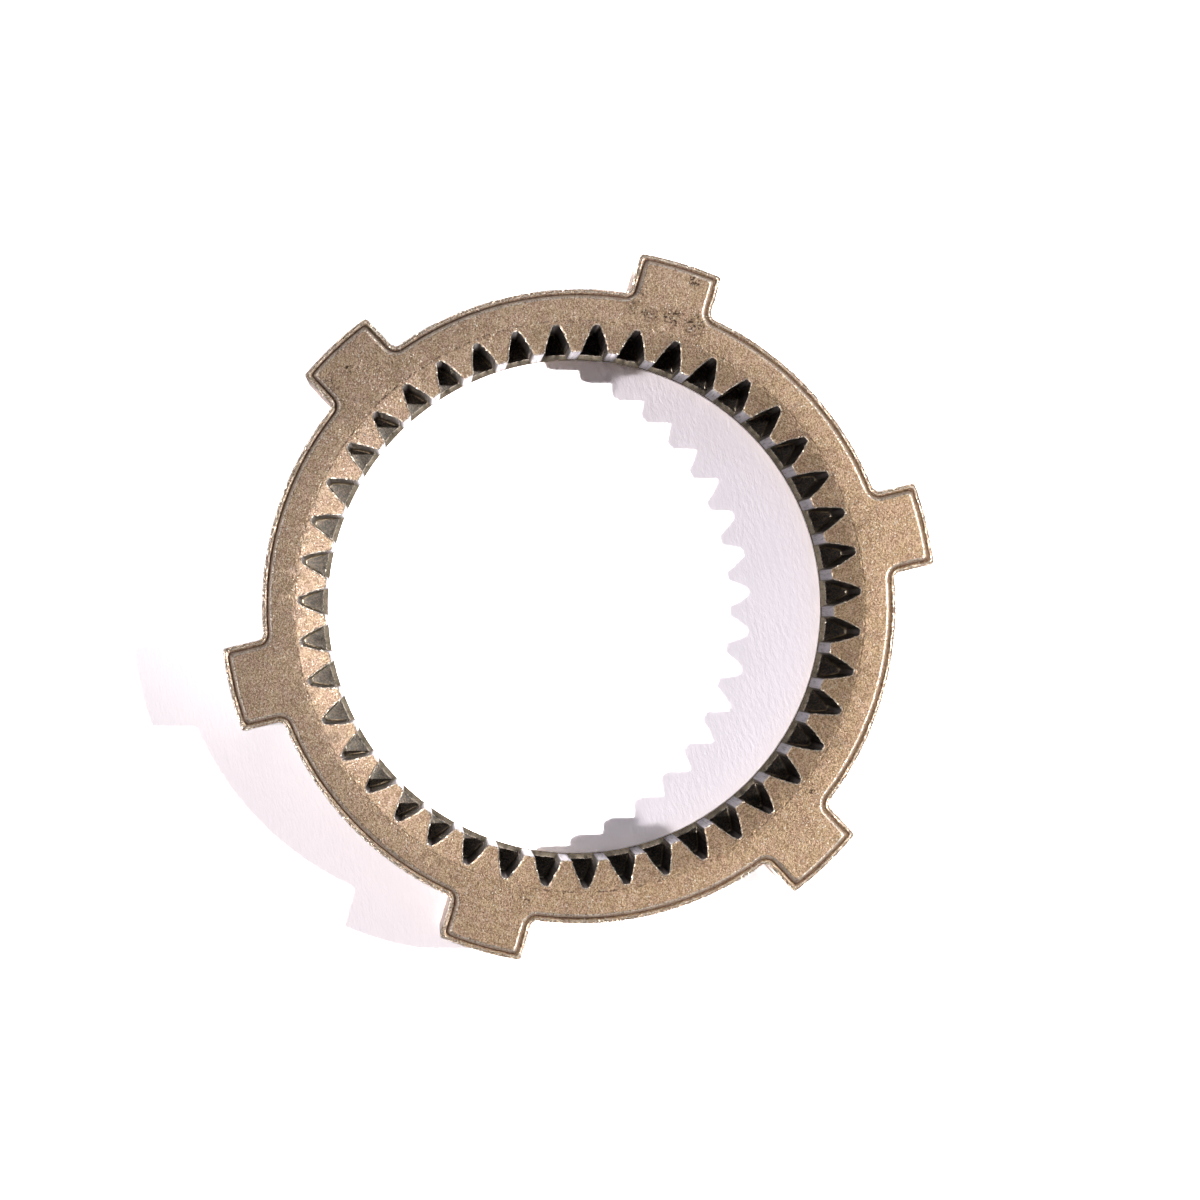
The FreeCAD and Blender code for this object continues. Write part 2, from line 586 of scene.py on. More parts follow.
@dataclass(frozen=True)
class Body:
    """The outer side with its six lugs and the edge that the press left round the top.

    Lengths are in millimetres. Half a sector is drawn from the middle of the lug on +X.

    Attributes:
        land: Width of the level strip outside the bevel.
        bevel: Width of the bevel, which drops from the top face to the land.
        bevel_drop: Its height.
        bevel_guard: How far above and beside the base bevel the next rows lie.
    """

    lugs: int = LUGS
    body_radius: float = 26.0
    lug_radius: float = 29.4
    lug_width: float = 6.9
    lug_corner: float = 0.3
    lug_foot: float = 0.55
    height: float = HEIGHT
    land: float = 0.48
    bevel: float = 0.29
    bevel_drop: float = 0.35
    base_bevel: float = 0.25
    bevel_guard: float = 0.1
    tip_steps: int = 18
    corner_steps: int = 5
    side_steps: int = 14
    foot_steps: int = 8
    body_steps: int = 84

    def outline(self, inset: float, z: float) -> list[Vector]:
        """Draws half a sector of the outline, moved inwards by an inset.

        Args:
            inset: Distance into the metal.
            z: Height of the row.

        Returns:
            Points from the middle of a lug to the middle between two lugs.
        """
        body = self.body_radius - inset
        tip = self.lug_radius - inset
        half = self.lug_width / 2 - inset
        foot = self.lug_foot + inset
        foot_y = half + foot
        foot_x = math.sqrt((body + foot) ** 2 - foot_y**2)
        corner = self.lug_corner
        corner_y = half - corner
        corner_x = math.sqrt((tip - corner) ** 2 - corner_y**2)
        corner_turn = math.atan2(corner_y, corner_x)
        foot_turn = math.atan2(foot_y, foot_x)
        points = self.arc(0, 0, tip, 0.0, corner_turn, self.tip_steps)
        points += self.arc(corner_x, corner_y, corner, corner_turn, math.pi / 2, self.corner_steps)[1:]
        for index in range(1, self.side_steps + 1):
            points.append((corner_x + (foot_x - corner_x) * index / self.side_steps, half))
        points += self.arc(foot_x, foot_y, foot, -math.pi / 2, foot_turn - math.pi, self.foot_steps)[1:]
        points += self.arc(0, 0, body, foot_turn, math.pi / self.lugs, self.body_steps)[1:]
        return [Vector((x, y, z)) for x, y in points]

    def arc(
        self, x: float, y: float, radius: float, start: float, end: float, steps: int
    ) -> list[tuple[float, float]]:
        """Spreads points over an arc.

        Args:
            x: Place of its centre along x.
            y: Place of its centre along y.
            radius: Its radius.
            start: Angle at which it starts.
            end: Angle at which it ends.
            steps: Number of steps along it.

        Returns:
            The points, both ends included.
        """
        places = []
        for index in range(steps + 1):
            angle = start + (end - start) * index / steps
            places.append((x + radius * math.cos(angle), y + radius * math.sin(angle)))
        return places

    def section(self) -> list[tuple[float, float, Zone, float, float]]:
        """Lists the rows of the outer side, from the top face over the land to the underside.

        Returns:
            Inset, height, zone, wear and burr of each row.
        """
        pressed, half, burnished = Zone.PRESSED, Zone.HALF_BURNISHED, Zone.BURNISHED
        top = self.height
        land = top - self.bevel_drop
        brow = self.land + self.bevel
        base = self.base_bevel
        return [
            (brow + 0.14, top, pressed, 0.0, 0.0),
            (brow + 0.05, top, pressed, 0.1, 0.1),
            (brow + 0.01, top - 0.006, pressed, 0.9, 0.4),
            (brow - 0.05, top - 0.034, pressed, 0.9, 0.4),
            (brow - 0.11, top - 0.070, half, 0.4, 0.2),
            # Wear below 0, from here to the rise past the groove, is painted shade on the steep wall and in
            # the groove
            (brow - 0.17, top - 0.115, half, -0.2, 0.1),
            (brow - 0.22, top - 0.185, half, -0.5, 0.1),
            (brow - 0.27, land + 0.09, pressed, -0.6, 0.1),
            (0.45, land - 0.01, pressed, -0.6, 0.1),
            (0.40, land - 0.05, pressed, -0.5, 0.1),
            (0.35, land - 0.04, pressed, -0.4, 0.1),
            (0.30, land + 0.01, pressed, 0.3, 0.3),
            (0.24, land + 0.02, pressed, 0.8, 0.5),
            (0.18, land - 0.01, pressed, 0.7, 0.7),
            (0.13, land - 0.03, pressed, 0.1, 0.9),
            (0.08, land - 0.01, pressed, 0.9, 1.0),
            (0.03, land - 0.01, pressed, 1.0, 1.0),
            (0.01, land - 0.06, pressed, 0.8, 0.9),
            (0.01, land - 0.14, burnished, 0.2, 0.3),
            (0.0, land - 0.3, burnished, 0.0, 0.0),
            (0.0, base + self.bevel_guard, burnished, 0.0, 0.0),
            (0.0, base, burnished, 0.6, 0.2),
            (base, 0.0, pressed, 0.6, 0.0),
            (base + self.bevel_guard, 0.0, pressed, 0.0, 0.0),
        ]

    def build(self) -> bpy.types.Object:
        """Draws half a sector, mirrors it and copies it round.

        Returns:
            The outer side, in millimetres.
        """
        bench = Bench("outer_side")
        bench.weave([Row(self.outline(inset, z), *marks) for inset, z, *marks in self.section()])
        bench.mirror("POSITIVE_Y")
        bench.repeat(self.lugs)
        return bench.close()


@dataclass(frozen=True)
class Tear:
    """A cloud pattern that tears the burred rows out of line.

    Attributes:
        name: Name of its modifier.
        size: Size of its clouds in millimetres.
        strength: How far it moves a point in all, in millimetres.
    """

    name: str
    size: float
    strength: float


@dataclass(frozen=True)
class RingGear:
    """The whole gear: one piece, joined from its toothed inner side and its lugged outer side.

    Attributes:
        toothing: The inner side.
        body: The outer side.
        tears: What roughens the edges.
        sharp_angle: Angle in degrees past which an edge is shaded sharp.
        side_reach: How far from the XZ plane the metal may reach, in millimetres.
        tip_margin: How far it stays inside the circle of the lug tips.
        top_margin: How far it stays under the full height.
    """

    toothing: Toothing = field(default_factory=Toothing)
    body: Body = field(default_factory=Body)
    tears: tuple[Tear, ...] = (Tear("fine", 0.12, 0.2), Tear("coarse", 0.5, 0.07))
    sharp_angle: float = 32.0
    side_reach: float = 26.92
    tip_margin: float = 0.015
    top_margin: float = 0.0001

    def build(self) -> bpy.types.Object:
        """Joins the two sides, closes the faces between them and roughens the edges.

        Returns:
            The gear in metres.
        """
        gear = self.toothing.build()
        outer = self.body.build()
        self.select(gear, outer)
        bpy.ops.object.join()
        gear.name = "gear_body"
        gear.data.name = "gear_body"
        bpy.ops.object.mode_set(mode="EDIT")
        for level in (self.toothing.height, 0.0):
            self.close_face(gear, level)
        bpy.ops.mesh.select_all(action="SELECT")
        bpy.ops.mesh.normals_make_consistent(inside=False)
        grid = bmesh.from_edit_mesh(gear.data)
        loose = sum(1 for edge in grid.edges if not edge.is_manifold)
        log.info("gear_body: %d faces, %d open edges", len(grid.faces), loose)
        bpy.ops.object.mode_set(mode="OBJECT")
        self.roughen(gear)
        self.hold_in(gear)
        self.select(gear)
        gear.scale = (MM, MM, MM)
        bpy.ops.object.transform_apply(location=False, rotation=False, scale=True)
        bpy.ops.object.shade_smooth_by_angle(angle=math.radians(self.sharp_angle))
        return gear

    def select(self, active: bpy.types.Object, *others: bpy.types.Object) -> None:
        """Selects objects and nothing else.

        Args:
            active: The object that becomes the active one.
            others: Those selected with it.
        """
        bpy.ops.object.select_all(action="DESELECT")
        for obj in (active, *others):
            obj.select_set(True)
        bpy.context.view_layer.objects.active = active

    def close_face(self, obj: bpy.types.Object, level: float) -> None:
        """Fills the flat face between the open borders of the two sides.

        Args:
            obj: The joined gear, in edit mode.
            level: Height of the face in millimetres.
        """
        bpy.ops.mesh.select_all(action="DESELECT")
        bpy.ops.mesh.select_non_manifold(
            extend=False, use_wire=False, use_boundary=True,
            use_multi_face=False, use_non_contiguous=False, use_verts=False,
        )
        grid = bmesh.from_edit_mesh(obj.data)
        for edge in grid.edges:
            if edge.select and any(abs(vert.co.z - level) > NEAR for vert in edge.verts):
                edge.select = False
        grid.select_flush_mode()
        bmesh.update_edit_mesh(obj.data)
        bpy.ops.mesh.fill(use_beauty=True)

    def roughen(self, obj: bpy.types.Object) -> None:
        """Tears the burred rows out of line, the same way on every run.

        Args:
            obj: The gear in millimetres.
        """
        group = obj.vertex_groups.new(name="burr")
        for index, burr in enumerate(obj.data.attributes["burr"].data):
            if burr.value > 0:
                group.add([index], burr.value, "REPLACE")
        bpy.context.view_layer.objects.active = obj
        for tear in self.tears:
            cloud = bpy.data.textures.new(f"burr_{tear.name}", "CLOUDS")
            cloud.cloud_type = "COLOR"
            cloud.noise_scale = tear.size
            cloud.noise_depth = 1
            move = obj.modifiers.new(tear.name, "DISPLACE")
            move.texture = cloud
            move.texture_coords = "LOCAL"
            move.direction = "RGB_TO_XYZ"
            move.space = "LOCAL"
            move.mid_level = 0.5
            move.strength = tear.strength
            move.vertex_group = "burr"
            bpy.ops.object.modifier_apply(modifier=tear.name)

    def hold_in(self, obj: bpy.types.Object) -> None:
        """Moves the points that were torn past the solid's reach back inside it.

        Args:
            obj: The gear in millimetres.
        """
        reach = self.body.lug_radius - self.tip_margin
        for vert in obj.data.vertices:
            vert.co.z = min(max(vert.co.z, 0.0), self.body.height - self.top_margin)
            vert.co.y = min(max(vert.co.y, -self.side_reach), self.side_reach)
            length = math.hypot(vert.co.x, vert.co.y)
            if length > reach:
                vert.co.x *= reach / length
                vert.co.y *= reach / length


@dataclass(frozen=True)
class Speckle:
    """A noise pattern.

    Attributes:
        scale: Features to the metre.
        detail: Number of finer layers laid over them.
        roughness: Strength of each finer layer.
    """

    scale: float
    detail: float = 2.0
    roughness: float = 0.5


class Signal:
    """A node's output that takes part in Python arithmetic."""

    def __init__(self, graph: "Graph", socket: bpy.types.NodeSocket) -> None:
        """Keeps the output and the graph that it belongs to."""
        self.graph = graph
        self.socket = socket

    def combine(self, operation: str, *values: Any) -> "Signal":
        """Adds a Math node.

        Args:
            operation: The node's operation.
            values: Its inputs, in order.

        Returns:
            The node's output.
        """
        return self.graph.node("ShaderNodeMath", {"operation": operation}, dict(enumerate(values)))

    def __add__(self, other: Any) -> "Signal":
        """Sum."""
        return self.combine("ADD", self, other)

    def __radd__(self, other: Any) -> "Signal":
        """Sum with the number first."""
        return self.combine("ADD", other, self)

    def __sub__(self, other: Any) -> "Signal":
        """Difference."""
        return self.combine("SUBTRACT", self, other)

    def __rsub__(self, other: Any) -> "Signal":
        """Difference with the number first."""
        return self.combine("SUBTRACT", other, self)

    def __mul__(self, other: Any) -> "Signal":
        """Product."""
        return self.combine("MULTIPLY", self, other)

    def rise(self, band: Band) -> "Signal":
        """Smooth step from 0 at a band's start to 1 at its end."""
        return self.step(band, 0.0, 1.0)

    def fall(self, band: Band) -> "Signal":
        """Smooth step from 1 at a band's start to 0 at its end."""
        return self.step(band, 1.0, 0.0)

    def step(self, band: Band, bottom: float, top: float) -> "Signal":
        """Adds a smooth step that is level outside its band.

        Args:
            band: Inputs at which the step starts and ends.
            bottom: Value up to the start.
            top: Value from the end on.

        Returns:
            The mapped signal.
        """
        inputs = {"Value": self, "From Min": band[0], "From Max": band[1], "To Min": bottom, "To Max": top}
        return self.graph.node("ShaderNodeMapRange", {"interpolation_type": "SMOOTHSTEP"}, inputs)


class Graph:
    """A node tree that is built by calls."""

    def __init__(self, tree: bpy.types.NodeTree) -> None:
        """Empties the tree.

        Args:
            tree: The node tree of a material or a world.
        """
        self.tree = tree
        tree.nodes.clear()

    def node(
        self,
        kind: str,
        settings: dict[str, Any] | None = None,
        inputs: dict[Any, Any] | None = None,
        output: Any = 0,
    ) -> Signal:
        """Adds a node.

        Args:
            kind: The node's type.
            settings: Its properties, set before its sockets.
            inputs: Values or signals by socket name, identifier or number.
            output: Name, identifier or number of the output that is wanted.

        Returns:
            That output, or the first input's place where the node has no output.
        """
        made = self.tree.nodes.new(kind)
        for name, value in (settings or {}).items():
            setattr(made, name, value)
        for key, value in (inputs or {}).items():
            socket = self.find(made.inputs, key)
            if isinstance(value, Signal):
                self.tree.links.new(value.socket, socket)
            else:
                socket.default_value = value
        if not len(made.outputs):
            return Signal(self, made.inputs[0])
        return Signal(self, self.find(made.outputs, output))

    def find(self, sockets: Any, key: Any) -> bpy.types.NodeSocket:
        """Finds a socket.

        Args:
            sockets: Inputs or outputs of a node.
            key: Its number, identifier or name.

        Returns:
            The socket.
        """
        if isinstance(key, int):
            return sockets[key]
        for socket in sockets:
            if socket.identifier == key:
                return socket
        return next(socket for socket in sockets if socket.name == key and socket.enabled)

    def blend(self, factor: Any, first: Any, second: Any, mode: str = "MIX") -> Signal:
        """Mixes two colours.

        Args:
            factor: Share of the second colour.
            first: First colour.
            second: Second colour.
            mode: Blend mode.

        Returns:
            The mixed colour.
        """
        settings = {"data_type": "RGBA", "blend_type": mode}
        inputs = {"Factor_Float": factor, "A_Color": first, "B_Color": second}
        return self.node("ShaderNodeMix", settings, inputs, "Result_Color")

    def noise(self, place: Signal, speckle: Speckle) -> Signal:
        """Adds a noise pattern.

        Args:
            place: Where it is read.
            speckle: Its grain.

        Returns:
            Its value, from 0 to 1.
        """
        inputs = {
            "Vector": place,
            "Scale": speckle.scale,
            "Detail": speckle.detail,
            "Roughness": speckle.roughness,
        }
        return self.node("ShaderNodeTexNoise", None, inputs, "Fac")

    def cells(self, place: Signal, scale: float, output: str) -> Signal:
        """Pattern of cells round scattered points, so many to the metre."""
        return self.node("ShaderNodeTexVoronoi", None, {"Vector": place, "Scale": scale}, output)

    def coordinate(self, output: str) -> Signal:
        """Place on the object, or its normal."""
        return self.node("ShaderNodeTexCoord", None, None, output)

    def attribute(self, name: str) -> Signal:
        """Value that the mesh's points carry."""
        return self.node("ShaderNodeAttribute", {"attribute_name": name}, None, "Fac")

    def ray(self, kind: str) -> Signal:
        """1 for one kind of ray and 0 for all others."""
        return self.node("ShaderNodeLightPath", None, None, kind)

    def stretched(self, place: Signal, factors: Triple) -> Signal:
        """A place with each coordinate multiplied by its own factor."""
        return self.vector("MULTIPLY", "Vector", place, factors)

    def vector(self, operation: str, output: str, *values: Any) -> Signal:
        """Vector arithmetic on one or two inputs."""
        return self.node("ShaderNodeVectorMath", {"operation": operation}, dict(enumerate(values)), output)

    def relief(self, height: Signal, strength: float, distance: float) -> Signal:
        """Normal that a height gives the surface, with its distance in metres."""
        inputs = {"Strength": strength, "Distance": distance, "Height": height}
        return self.node("ShaderNodeBump", None, inputs, "Normal")


def largest(signals: Sequence[Signal]) -> Signal:
    """Finds the largest of several signals at each place.

    Args:
        signals: The signals.

    Returns:
        The largest.
    """
    result = signals[0]
    for signal in signals[1:]:
        result = result.combine("MAXIMUM", result, signal)
    return result


def metres(band: Band) -> Band:
    """Turns a band of millimetres into one of metres."""
    return band[0] * MM, band[1] * MM


@dataclass(frozen=True)
class Stain:
    """A darker place on the top face, pitted to some degree.

    Attributes:
        lug: Number of the lug that it is near, counted round from the one on +X.
        along: Distance from the axis along the lug's middle, in millimetres.
        across: Distance to the side, counter-clockwise positive, in millimetres.
        size: Radius in millimetres.
        pits: How thickly it is pitted, from 0 to 1.
        shade: How far it darkens the metal, from 0 to 1.
    """

    CORE = 0.3
    FRINGE = 1.2

    lug: float
    along: float
    across: float
    size: float
    pits: float
    shade: float

    def centre(self) -> Triple:
        """Place in the gear's frame, in metres."""
        place = Vector((self.along, self.across, HEIGHT)) * MM
        return tuple(Matrix.Rotation(2 * math.pi / LUGS * self.lug, 3, "Z") @ place)

    def fade(self) -> Band:
        """Distances from its centre, in metres, between which it fades out."""
        return self.size * MM * self.CORE, self.size * MM * self.FRINGE


STAINS = (
    Stain(1, 28.2, -1.4, 0.8, 1.0, 0.25),
    Stain(1, 24.7, 3.0, 0.9, 0.8, 0.25),
    Stain(1, 24.5, 1.4, 1.0, 0.9, 0.3),
    Stain(1, 24.9, -0.4, 1.2, 0.9, 0.3),
    Stain(1, 24.8, -2.4, 1.3, 0.9, 0.3),
    Stain(1, 26.0, 2.6, 1.0, 0.7, 0.1),
    Stain(2, 27.0, 2.5, 1.0, 0.8, 0.2),
    Stain(2, 25.5, 3.0, 0.7, 0.9, 0.2),
    Stain(2, 27.0, 0.4, 0.6, 0.9, 0.2),
    Stain(2, 25.0, -2.1, 1.1, 0.5, 0.2),
    Stain(4, 24.2, 2.4, 0.8, 0.8, 0.2),
    Stain(5, 24.0, 3.4, 0.7, 0.8, 0.1),
    Stain(4.28, 24.4, 0.0, 3.4, 0.15, 0.16),
    # Broad, faint darkening of the top face towards the picture's upper left, 13 mm in radius
    Stain(1.9, 24.0, 0.0, 13.0, 0.15, 0.22),
)


@dataclass(frozen=True)
class SinteredSteel:
    """Sintered steel, grainy where a punch pressed it and burnished where it slid along the die.

    Bands are where one look passes into the next: those of radii, heights and widths are in
    millimetres, and the others are of the pattern's own values. A share is how strongly a part of the
    pattern counts. The depth of the relief is in metres.
    """

    grain_dark: Colour = (0.33, 0.215, 0.135, 1.0)
    grain_light: Colour = (0.62, 0.45, 0.31, 1.0)
    rosy: Colour = (1.0, 0.965, 0.99, 1.0)
    golden: Colour = (1.0, 1.0, 0.95, 1.0)
    # Tints that make the pressed faces lighter towards the picture's lower right and bluer towards the upper
    # left
    other_side_tint: Colour = (0.97, 1.01, 1.10, 1.0)
    side_lightening: Colour = (1.15, 1.15, 1.14, 1.0)
    dull: Colour = (0.19, 0.185, 0.17, 1.0)
    # flank and tip_land are one burnished steel: the flanks' near black is painted shade in the tooth
    # spaces, and the tip lands' near-white lavender is a painted reflection of the shaded paper
    flank: Colour = (0.115, 0.1, 0.092, 1.0)
    tip_land: Colour = (0.94, 0.91, 0.94, 1.0)
    rim: Colour = (0.38, 0.33, 0.24, 1.0)
    bevel: Colour = (0.50, 0.42, 0.35, 1.0)
    # Colour of rubbed metal, also painted on a few random grains as glints
    worn_and_glint: Colour = (0.92, 0.83, 0.72, 1.0)
    pore: Colour = (0.07, 0.045, 0.03, 1.0)

    tip_land_radii: Band = (20.89, 20.96)
    crease_start: Band = (23.25, 23.37)
    crease_end: Band = (23.42, 23.52)
    space_radii: Band = (23.6, 23.8)
    bevel_radii: Band = (24.6, 24.8)
    rim_heights: Band = (1.38, 1.46)
    lighter_direction: Triple = (0.72, -0.69, 0.0)
    lighter_widths: Band = (-24.0, 24.0)
    facing_up: Band = (0.9, 0.98)
    zone_band: Band = (0.2, 0.8)

    grain_scale: float = 11000.0
    clumps: Speckle = Speckle(8050, 2.0, 0.6)
    patches: Speckle = Speckle(1500)
    drift: Speckle = Speckle(900)
    drift_band: Band = (0.35, 0.65)
    tone_shares: Triple = (0.9, 0.7, 0.6)
    tone_drop: float = 0.6
    tone_band: Band = (0.15, 0.85)

    pore_scale: float = 3300.0
    pore_band: Band = (0.1, 0.2)
    pore_patches: Band = (0.5, 0.6)
    pore_share: float = 0.65
    blots: Speckle = Speckle(4300, 4.0, 0.75)
    blot_band: Band = (0.62, 0.7)
    blot_share: float = 0.75
    pitting: float = 0.13
    crease_grime: Speckle = Speckle(3050, 2.0, 0.6)
    crease_band: Band = (0.42, 0.6)
    crease_share: float = 0.5
    groove_shade_share: float = 0.85

    streaks: Speckle = Speckle(6500, 2.0, 0.6)
    streak_stretch: Triple = (1.0, 1.0, 0.05)
    streak_band: Band = (0.45, 0.7)
    streak_share: float = 0.45
    dull_grain: float = 0.4

    glint_band: Band = (0.955, 0.985)
    glint_share: float = 0.7
    rub: Speckle = Speckle(8050, 1.0)
    rub_band: Band = (0.36, 0.52)

    metallic: float = 0.8
    burnished_metallic: float = 0.2
    roughness: float = 0.52
    burnished_gloss: float = 0.2
    wear_and_glint_gloss: float = 0.18
    relief_shares: tuple[float, float, float, float] = (0.3, 1.2, 0.5, 0.4)
    burnished_flatness: float = 0.9
    relief_strength: float = 0.8
    relief_depth: float = 0.00004

    def material(self) -> bpy.types.Material:
        """Builds the material.

        Returns:
            The material for the whole gear.
        """
        steel = bpy.data.materials.new("sintered_steel")
        steel.use_nodes = True
        graph = Graph(steel.node_tree)
        place = graph.coordinate("Object")
        reach = graph.vector("LENGTH", "Value", graph.stretched(place, (1.0, 1.0, 0.0)))
        zone = graph.attribute("zone")
        wear = graph.attribute("wear")
        up = graph.node("ShaderNodeSeparateXYZ", None, {0: graph.coordinate("Normal")}, "Z")
        up = up.rise(self.facing_up) * reach.fall(metres(self.space_radii))
        smooth = (zone * (1 - up)).rise(self.zone_band)
        dull = (zone * up).rise(self.zone_band)

        chance = graph.cells(place, self.grain_scale, "Color")
        grain = graph.node("ShaderNodeSeparateColor", None, {0: chance}, "Red")
        luck = graph.node("ShaderNodeSeparateColor", None, {0: chance}, "Blue")
        clumps = graph.noise(place, self.clumps)
        patches = graph.noise(place, self.patches)
        by_grain, by_clump, by_patch = self.tone_shares
        tone = grain * by_grain + clumps * by_clump + patches * by_patch - self.tone_drop
        tone = tone.rise(self.tone_band)
        pits, shade = self.stains(graph, place)
        pores = graph.cells(place, self.pore_scale, "Distance").fall(self.pore_band)
        pores = pores * patches.rise(self.pore_patches)
        blots = (graph.noise(place, self.blots) + pits * self.pitting).rise(self.blot_band)
        crease = self.crease(graph, place, reach)
        # Painted shade: rows with wear below 0, on the steep wall and in the groove round the top edge, are
        # darkened; real stains, blots, pores and the crease join it
        groove_shade = (wear * -1.0).rise(UNIT) * self.groove_shade_share
        dirt_and_groove_shade = shade + blots * self.blot_share + pores * self.pore_share + crease + groove_shade

        pressed = graph.blend(dirt_and_groove_shade.rise(UNIT), self.pressed(graph, place, tone), self.pore)
        colour = graph.blend(dull, pressed, graph.blend(tone * self.dull_grain, self.dull, pressed))
        colour = graph.blend(smooth, colour, self.burnished(graph, place, reach))
        # Partly painted glint: a few random grains take the bright worn colour as sparkle, besides real
        # rubbed wear and lower roughness
        glint = luck.rise(self.glint_band) * (1 - smooth) * (1 - dull)
        wear_and_glint = wear * graph.noise(place, self.rub).rise(self.rub_band) + glint * self.glint_share
        wear_and_glint = wear_and_glint.rise(UNIT)
        by_grain, by_clump, by_pore, by_blot = self.relief_shares
        height = grain * by_grain + clumps * by_clump - pores * by_pore - blots * by_blot
        height = height * (1 - smooth * self.burnished_flatness)
        inputs = {
            "Base Color": graph.blend(wear_and_glint, colour, self.worn_and_glint),
            "Metallic": self.metallic + smooth * self.burnished_metallic,
            "Roughness": self.roughness - smooth * self.burnished_gloss - wear_and_glint * self.wear_and_glint_gloss,
            "Normal": graph.relief(height, self.relief_strength, self.relief_depth),
        }
        shader = graph.node("ShaderNodeBsdfPrincipled", None, inputs)
        graph.node("ShaderNodeOutputMaterial", None, {"Surface": shader})
        return steel

    def pressed(self, graph: Graph, place: Signal, tone: Signal) -> Signal:
        """Colours the pressed faces, which are lighter towards the picture's lower right and drift in hue.

        Args:
            graph: The material's graph.
            place: Place on the gear.
            tone: How light the grain is.

        Returns:
            The colour without its dirt.
        """
        drift = graph.noise(place, self.drift).rise(self.drift_band)
        side = graph.vector("DOT_PRODUCT", "Value", place, self.lighter_direction)
        colour = graph.blend(tone, self.grain_dark, self.grain_light)
        colour = graph.blend(1.0, colour, graph.blend(drift, self.rosy, self.golden), "MULTIPLY")
        # Lighter towards the picture's lower right, bluer towards the upper left
        side_lightening = graph.blend(side.rise(metres(self.lighter_widths)), self.other_side_tint, self.side_lightening)
        return graph.blend(1.0, colour, side_lightening, "MULTIPLY")

    def crease(self, graph: Graph, place: Signal, reach: Signal) -> Signal:
        """Lays the broken line of grime at the brow of the countersink.

        Args:
            graph: The material's graph.
            place: Place on the gear.
            reach: Distance from the axis.

        Returns:
            How far it darkens the metal.
        """
        line = reach.rise(metres(self.crease_start)) * reach.fall(metres(self.crease_end))
        return line * graph.noise(place, self.crease_grime).rise(self.crease_band) * self.crease_share

    def burnished(self, graph: Graph, place: Signal, reach: Signal) -> Signal:
        """Colours the walls that slid along the die, from the bore out to the outer bevel, with painted
        shade on the tooth flanks and a painted reflection on the tip lands.

        Args:
            graph: The material's graph.
            place: Place on the gear.
            reach: Distance from the axis.

        Returns:
            The colour, streaked up and down.
        """
        high = graph.node("ShaderNodeSeparateXYZ", None, {0: place}, "Z")
        drawn = graph.noise(graph.stretched(place, self.streak_stretch), self.streaks)
        # Painted reflection on the tip lands, painted shade on the flanks
        colour = graph.blend(reach.rise(metres(self.tip_land_radii)), self.tip_land, self.flank)
        colour = graph.blend(high.rise(metres(self.rim_heights)), self.rim, colour)
        colour = graph.blend(reach.rise(metres(self.bevel_radii)), colour, self.bevel)
        return graph.blend(drawn.rise(self.streak_band) * self.streak_share, colour, self.pore)

    def stains(self, graph: Graph, place: Signal) -> tuple[Signal, Signal]:
        """Lays the tarnished places.

        Args:
            graph: The material's graph.
            place: Place on the gear.

        Returns:
            How thickly each place is pitted, and how far it is darkened.
        """
        pits = []
        shade = []
        for stain in STAINS:
            cover = graph.vector("DISTANCE", "Value", place, stain.centre()).fall(stain.fade())
            pits.append(cover * stain.pits)
            shade.append(cover * stain.shade)
        return largest(pits), largest(shade)


def turned(direction: Vector) -> Vector:
    """Turns a direction of the picture, x right and y up, into the gear's frame."""
    return Matrix.Rotation(math.radians(PICTURE_TURN), 3, "Z") @ direction


